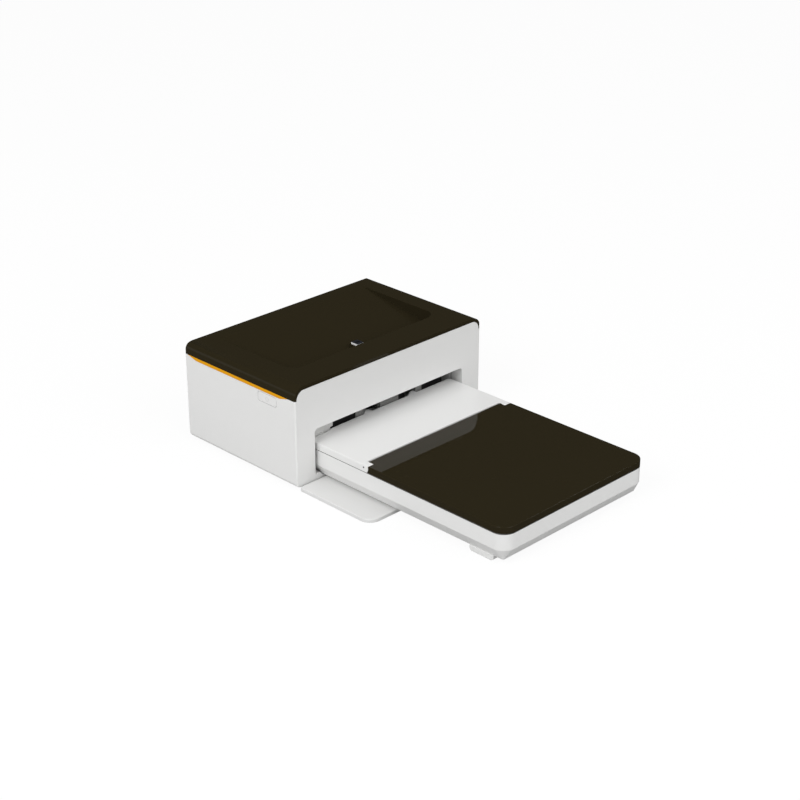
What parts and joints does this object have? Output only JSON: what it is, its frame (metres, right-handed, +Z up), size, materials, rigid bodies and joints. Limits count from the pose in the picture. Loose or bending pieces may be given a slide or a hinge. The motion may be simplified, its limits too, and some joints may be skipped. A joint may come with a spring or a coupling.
{
  "type": "compact photo printer",
  "caption": "Compact photo printer with a dark dock recess in its cover, an amber side strip, its front door down and a paper tray with a dark lid in the front slot.",
  "frame": {"origin": "on the table, under the middle of the bounding box of the printer with its tray in place", "axes": "+Z up, +X along the front to the side with the ribbon door, +Y from the tray to the back of the casing"},
  "size_m": [0.1684, 0.2664, 0.0704],
  "materials": {
    "white_plastic": "gloss",
    "dark_plastic": "gloss",
    "amber_plastic": "satin",
    "grey_plastic": "matte",
    "black_plastic": "matte",
    "black_rubber": "matte",
    "steel_sheet": "satin",
    "steel_rod": "polished",
    "bare_aluminium": "satin",
    "acetal": "satin",
    "board": "satin",
    "head_ceramic": "satin",
    "spool_amber": "satin",
    "spool_dye": "satin",
    "film": "gloss",
    "photo_paper": "gloss"
  },
  "bodies": {
    "casing": {"body_shell": "white_plastic", "base_plate": "white_plastic", "top_cover": "dark_plastic", "amber_strip_left": "amber_plastic", "amber_strip_right": "amber_plastic", "rubber_feet": "black_rubber", "case_screws": "steel_sheet", "hinge_pins": "steel_rod", "switch_board": "board", "dock_connector": "white_plastic", "side_plate_left": "steel_sheet", "side_plate_right": "steel_sheet", "tie_rods": "steel_rod", "inner_frame": "white_plastic", "exit_guide": "grey_plastic", "exit_shelf": "grey_plastic", "roller_bushes": "acetal", "drive_motor": "bare_aluminium", "gear_studs": "steel_rod", "head_pivot_shaft": "steel_rod", "cam_motor": "bare_aluminium", "ribbon_cartridge": "black_plastic", "ribbon_film": "film", "main_board": "board", "board_parts": "black_plastic", "dc_jack": "black_plastic", "usb_port": "steel_rod"},
    "front_door": {"front_door": "white_plastic"},
    "cartridge_door": {"cartridge_door": "white_plastic"},
    "power_button": {"power_button": "white_plastic"},
    "tray": {"tray_base": "white_plastic", "tray_rear_cover": "white_plastic", "tray_hinge_pins": "steel_rod", "tray_feet": "white_plastic", "lift_springs": "steel_sheet", "separation_pad": "black_rubber"},
    "tray_lid": {"tray_lid": "dark_plastic"},
    "lift_plate": {"lift_plate": "grey_plastic", "paper_stack": "photo_paper"},
    "pickup": {"pickup_roller": "black_rubber", "pickup_shaft": "steel_rod", "pickup_gear": "acetal"},
    "capstan": {"capstan_shaft": "steel_rod", "capstan_gear": "acetal"},
    "pinch_roller": {"pinch_roller": "grey_plastic"},
    "platen": {"platen_roller": "black_rubber", "platen_shaft": "steel_rod", "platen_gear": "acetal"},
    "motor_pinion": {"motor_pinion": "acetal"},
    "reduction_gear": {"reduction_gear": "acetal"},
    "feed_idler": {"feed_idler": "acetal"},
    "pickup_idler_rear": {"pickup_idler_rear": "acetal"},
    "pickup_idler_front": {"pickup_idler_front": "acetal"},
    "takeup": {"takeup_gear": "acetal", "takeup_spool": "spool_dye"},
    "supply": {"supply_spool": "spool_amber"},
    "head": {"print_head": "head_ceramic", "heatsink": "bare_aluminium", "head_bracket": "steel_sheet"},
    "head_cam": {"head_cam": "acetal"}
  },
  "joints": [
    {"name": "tray_slide", "type": "slide", "parent": "casing", "child": "tray", "axis": [0, -1, 0], "range_m": [0, 0.04]},
    {"name": "tray_lid_hinge", "type": "hinge", "parent": "tray", "child": "tray_lid", "pos_m": [0, -0.01595, 0.0251], "axis": [-1, 0, 0], "range_deg": [0, 95]},
    {"name": "lift_plate_hinge", "type": "hinge", "parent": "tray", "child": "lift_plate", "pos_m": [0.0095, -0.12425, 0.0156], "axis": [-1, 0, 0], "range_deg": [0, 2], "stiffness_Nm_per_rad": 6, "springref_deg": -2.86, "deforming": ["lift_springs"]},
    {"name": "front_door_hinge", "type": "hinge", "parent": "casing", "child": "front_door", "pos_m": [0, 0.02425, 0.0012], "axis": [-1, 0, 0], "range_deg": [0, 1]},
    {"name": "cartridge_door_hinge", "type": "hinge", "parent": "casing", "child": "cartridge_door", "pos_m": [0.0832, 0.093, 0.03535], "axis": [0, 1, 0], "range_deg": [0, 90]},
    {"name": "power_button_press", "type": "slide", "parent": "casing", "child": "power_button", "axis": [1, 0, 0], "range_m": [0, 0.0005], "stiffness_N_per_m": 800, "springref_m": -0.0005},
    {"name": "drive", "type": "hinge", "parent": "casing", "child": "reduction_gear", "pos_m": [-0.052, 0.10881, 0.03278], "axis": [1, 0, 0], "continuous": true},
    {"name": "motor_pinion_spin", "type": "hinge", "parent": "casing", "child": "motor_pinion", "pos_m": [-0.052, 0.11975, 0.017], "axis": [1, 0, 0], "continuous": true},
    {"name": "platen_spin", "type": "hinge", "parent": "casing", "child": "platen", "pos_m": [-0.052, 0.09575, 0.025], "axis": [1, 0, 0], "continuous": true},
    {"name": "feed_idler_spin", "type": "hinge", "parent": "casing", "child": "feed_idler", "pos_m": [-0.052, 0.08236, 0.01624], "axis": [1, 0, 0], "continuous": true},
    {"name": "capstan_spin", "type": "hinge", "parent": "casing", "child": "capstan", "pos_m": [-0.052, 0.07575, 0.0272], "axis": [1, 0, 0], "continuous": true},
    {"name": "pinch_spin", "type": "hinge", "parent": "casing", "child": "pinch_roller", "pos_m": [-0.052, 0.07575, 0.0349], "axis": [1, 0, 0], "continuous": true},
    {"name": "pickup_idler_rear_spin", "type": "hinge", "parent": "casing", "child": "pickup_idler_rear", "pos_m": [-0.052, 0.06974, 0.0385], "axis": [1, 0, 0], "continuous": true},
    {"name": "pickup_idler_front_spin", "type": "hinge", "parent": "casing", "child": "pickup_idler_front", "pos_m": [-0.052, 0.05749, 0.0348], "axis": [1, 0, 0], "continuous": true},
    {"name": "pickup_spin", "type": "hinge", "parent": "casing", "child": "pickup", "pos_m": [-0.052, 0.04975, 0.0267], "axis": [1, 0, 0], "continuous": true},
    {"name": "takeup_spin", "type": "hinge", "parent": "casing", "child": "takeup", "pos_m": [-0.052, 0.11475, 0.04677], "axis": [1, 0, 0], "continuous": true},
    {"name": "supply_spin", "type": "hinge", "parent": "casing", "child": "supply", "pos_m": [-0.052, 0.07125, 0.0464], "axis": [1, 0, 0], "continuous": true},
    {"name": "head_lift", "type": "hinge", "parent": "casing", "child": "head", "pos_m": [0.0095, 0.12525, 0.0595], "axis": [-1, 0, 0], "range_deg": [0, 3]},
    {"name": "cam_turn", "type": "hinge", "parent": "casing", "child": "head_cam", "pos_m": [-0.052, 0.09075, 0.04555], "axis": [1, 0, 0], "range_deg": [0, 150]}
  ],
  "couplings": [
    {"joint": "motor_pinion_spin", "follows": "drive", "ratio": -3},
    {"joint": "platen_spin", "follows": "drive", "ratio": -0.58333},
    {"joint": "takeup_spin", "follows": "drive", "ratio": -0.58333},
    {"joint": "supply_spin", "follows": "drive", "ratio": -0.58333},
    {"joint": "feed_idler_spin", "follows": "drive", "ratio": 0.875},
    {"joint": "capstan_spin", "follows": "drive", "ratio": -0.875},
    {"joint": "pinch_spin", "follows": "drive", "ratio": 0.975},
    {"joint": "pickup_idler_rear_spin", "follows": "drive", "ratio": 0.875},
    {"joint": "pickup_idler_front_spin", "follows": "drive", "ratio": -0.875},
    {"joint": "pickup_spin", "follows": "drive", "ratio": 1.1667},
    {"joint": "cam_turn", "follows": "head_lift", "ratio": 50}
  ]
}
